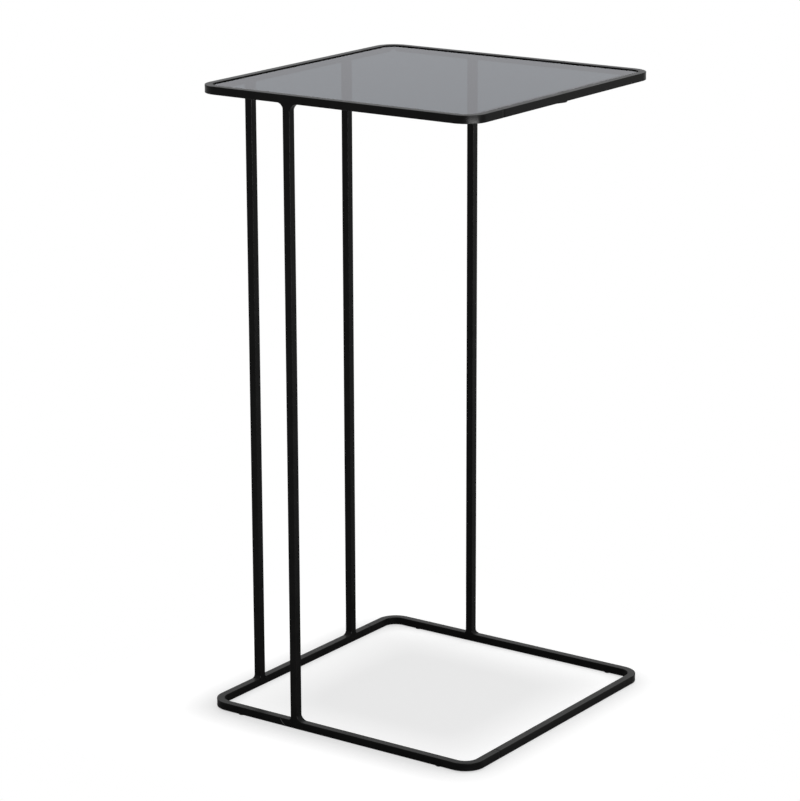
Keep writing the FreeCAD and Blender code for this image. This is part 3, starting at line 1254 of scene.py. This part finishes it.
@dataclass(frozen=True)
class PhotoCamera:
    """The camera, fitted to the edges in the photograph."""

    azimuth: float = math.radians(35.1195)
    pitch: float = math.radians(15.3234)
    roll: float = math.radians(-0.18866)
    eye: tuple[float, ...] = (1.66177, -2.41148, 1.11327)
    focal_pixels: float = 3040.34
    frame_pixels: float = 801
    sensor: float = 36

    def build(self) -> None:
        """Set up the camera and make it the scene's."""
        back = Vector((
            math.sin(self.azimuth) * math.cos(self.pitch),
            -math.cos(self.azimuth) * math.cos(self.pitch),
            math.sin(self.pitch),
        ))
        level_right = Vector((math.cos(self.azimuth), math.sin(self.azimuth), 0))
        level_up = back.cross(level_right)
        right = level_right * math.cos(self.roll) + level_up * math.sin(self.roll)
        up = level_up * math.cos(self.roll) - level_right * math.sin(self.roll)
        data = bpy.data.cameras.new("photo_camera")
        data.sensor_width = self.sensor
        data.lens = self.focal_pixels * self.sensor / self.frame_pixels
        camera = bpy.data.objects.new("photo_camera", data)
        turned = Matrix((right, up, back)).transposed().to_4x4()
        camera.matrix_world = Matrix.Translation(self.eye) @ turned
        bpy.context.scene.collection.objects.link(camera)
        bpy.context.scene.camera = camera


class Glow(Enum):
    """What a lamp does: it lights the table, or it only shows as a reflection in its gloss."""

    LIT = "lit"
    MIRRORED = "mirrored"


@dataclass(frozen=True)
class Softbox:
    """A flat soft light, aimed at a point of the table."""

    name: str
    place: tuple[float, ...]
    target: tuple[float, ...]
    width: float
    height: float
    watts: float
    glow: Glow = Glow.LIT

    def build(self) -> None:
        """Hang the light and aim it."""
        data = bpy.data.lights.new(self.name, "AREA")
        data.shape = "RECTANGLE"
        data.size = self.width
        data.size_y = self.height
        data.energy = self.watts
        light = bpy.data.objects.new(self.name, data)
        light.visible_diffuse = self.glow is Glow.LIT
        light.visible_glossy = self.glow is Glow.MIRRORED
        light.visible_transmission = False
        light.location = self.place
        way = Vector(self.target) - Vector(self.place)
        light.rotation_euler = way.to_track_quat("-Z", "Y").to_euler()
        bpy.context.scene.collection.objects.link(light)


@dataclass
class Studio:
    """The pale floor, the pale surroundings and the soft lights."""

    floor_half: float = 15
    floor_drop: float = 0.2 * MM
    floor_colour: tuple[float, ...] = (0.42, 0.42, 0.42, 1)
    # Painted shade in reflections: the floor's glow shows weaker in them near the table
    floor_mirrored: tuple[tuple[float, float], ...] = ((0.3, 0.08), (2.8, 0.55))
    squareness: float = 8
    # Painted light and shade on the floor: the glow's level at rounded-square distances from the middle
    middle_glow: tuple[float, float] = (0.085, 0.61)
    inside_glow: tuple[float, float] = (0.145, 0.74)
    outside_glow: tuple[float, float] = (0.165, 0.575)
    clear_glow: tuple[float, float] = (0.215, 0.775)
    shadow_reach: tuple[float, float] = (0.2, 0.32)
    sky_light: float = 0.5
    wall_colour: tuple[float, ...] = (0.614, 0.619, 0.652, 1)
    wall_rise: tuple[float, float] = (math.radians(11), math.radians(17))
    softboxes: tuple[Softbox, ...] = (
        Softbox("overhead", (0.15, 0.15, 8), (0, 0, 0), 1.0, 1.0, 280),
        Softbox("back_right", (1.7, 1.7, 1.0), (0, 0, 0), 1.4, 1.0, 6),
        Softbox("low_front", (1.95, -0.95, 0.5), (0.15, -0.15, 0.632), 2.05, 0.35, 115, Glow.MIRRORED),
    )

    def build_sky(self) -> None:
        """Make the surroundings: white, with a pale wall in reflections, and a plain light elsewhere."""
        world = bpy.data.worlds.new("pale_surroundings")
        world.use_nodes = True
        draft = NodeDraft(world.node_tree)
        way = draft.add("ShaderNodeTexCoord").outputs["Generated"]
        rise = draft.add("ShaderNodeSeparateXYZ", {"Vector": way}).outputs["Z"]
        low, high = (math.sin(angle) for angle in self.wall_rise)
        above = draft.calc("MAXIMUM", draft.spread(rise, (low, 0), (high, 1)), draft.seen(0.0))
        sky = draft.nodes["Background"]
        draft.feed(sky.inputs["Color"], draft.blend(above, self.wall_colour, WHITE))
        draft.feed(sky.inputs["Strength"], draft.spread(draft.seen(), (0, self.sky_light), (1, 1)))
        bpy.context.scene.world = world

    def floor_material(self) -> bpy.types.Material:
        """Return the floor's material: white where it is seen, but for the table's shadow and a painted
        shade that is darker under the middle of the table, lighter just inside the base ring and darker
        just outside it.

        Returns:
            The material, which is open from below.
        """
        material = bpy.data.materials.new("pale_floor")
        material.use_nodes = True
        draft = NodeDraft(material.node_tree)
        draft.nodes.remove(draft.nodes["Principled BSDF"])
        geometry = draft.add("ShaderNodeNewGeometry").outputs
        place = draft.add("ShaderNodeSeparateXYZ", {"Vector": geometry["Position"]}).outputs
        raised = [
            draft.calc("POWER", draft.calc("ABSOLUTE", place[axis]), self.squareness) for axis in "XY"
        ]
        square = draft.calc("POWER", draft.calc("ADD", *raised), 1 / self.squareness)
        seen = draft.seen(draft.spread(square, *self.floor_mirrored))
        near, far = self.shadow_reach
        outer = draft.spread(square, (near, 0), (far, 1))
        lit = draft.add("ShaderNodeBsdfDiffuse", {"Color": self.floor_colour}).outputs["BSDF"]
        # Painted shade and light: the glow dips in the middle, rises inside the ring and falls outside
        # it
        inside = draft.spread(square, self.middle_glow, self.inside_glow)
        falling = draft.spread(square, self.inside_glow, self.outside_glow)
        outside = draft.spread(square, self.outside_glow, self.clear_glow)
        level = draft.calc("MAXIMUM", draft.calc("MINIMUM", inside, falling), outside)
        glow = draft.calc("MULTIPLY", seen, level)
        glowing = draft.add("ShaderNodeEmission", {"Strength": glow}).outputs["Emission"]
        middle = draft.add("ShaderNodeAddShader", {0: lit, 1: glowing}).outputs["Shader"]
        white = draft.add("ShaderNodeEmission", {"Strength": 1}).outputs["Emission"]
        share = draft.calc("MULTIPLY", seen, outer)
        top = draft.add("ShaderNodeMixShader", {0: share, 1: middle, 2: white}).outputs["Shader"]
        gone = draft.add("ShaderNodeBsdfTransparent").outputs["BSDF"]
        both = draft.add("ShaderNodeMixShader", {0: geometry["Backfacing"], 1: top, 2: gone})
        draft.feed(draft.nodes["Material Output"].inputs["Surface"], both.outputs["Shader"])
        return material

    def build_floor(self) -> None:
        """Lay the floor."""
        reach = self.floor_half
        mesh = bpy.data.meshes.new("floor")
        corners = [(-reach, -reach, 0), (reach, -reach, 0), (reach, reach, 0), (-reach, reach, 0)]
        mesh.from_pydata(corners, [], [(0, 1, 2, 3)])
        mesh.materials.append(self.floor_material())
        floor = bpy.data.objects.new("floor", mesh)
        floor.location.z = -self.floor_drop
        bpy.context.scene.collection.objects.link(floor)

    def build(self) -> None:
        """Set up the floor, the surroundings, the lights and the view transform."""
        self.build_sky()
        self.build_floor()
        for softbox in self.softboxes:
            softbox.build()
        bpy.context.scene.view_settings.view_transform = "Standard"


def table_uprights(steel: PowderCoat) -> list[Upright]:
    """Return the four uprights, with the legs of their welds as long as the photograph shows.

    Args:
        steel: The finish of the bar.

    Returns:
        The uprights, the spine's first.
    """
    top = WeldForm(5.5 * MM, 5.5 * MM, inner_crown=-0.3 * MM)
    long_top = WeldForm(5.5 * MM, 7.5 * MM, inner_crown=-0.3 * MM)
    scarred = WeldForm(3 * MM, 6 * MM, scars=(WeldScar(),))
    return [
        Upright("spine_upright_front", Side.SPINE, WeldForm(2.6 * MM, 3.2 * MM), top, steel),
        Upright("spine_upright_back", Side.SPINE, WeldForm(2.6 * MM, 4.2 * MM), top, steel),
        Upright("side_upright_front", Side.FRONT, scarred, long_top, steel),
        Upright("side_upright_back", Side.BACK, WeldForm(4 * MM, 2.4 * MM), top, steel),
    ]


def main() -> None:
    """Build the table piece by piece, and then the studio round it."""
    logging.basicConfig(level=logging.INFO, format="%(message)s")
    noise.seed_set(RIPPLE_SEED)
    steel = PowderCoat()
    BarRing(Level.BASE, steel).build()
    BarRing(Level.TOP, steel, paint_run=PaintRun(start=-19 * MM, end=0)).build()
    for upright in table_uprights(steel):
        upright.build()
    PaneSeat(steel, ClearBumper()).build()
    Pane(SmokedGlass()).build()
    FloorPads(RubberPad()).build()
    Studio().build()
    PhotoCamera().build()


if __name__ == "__main__":
    main()
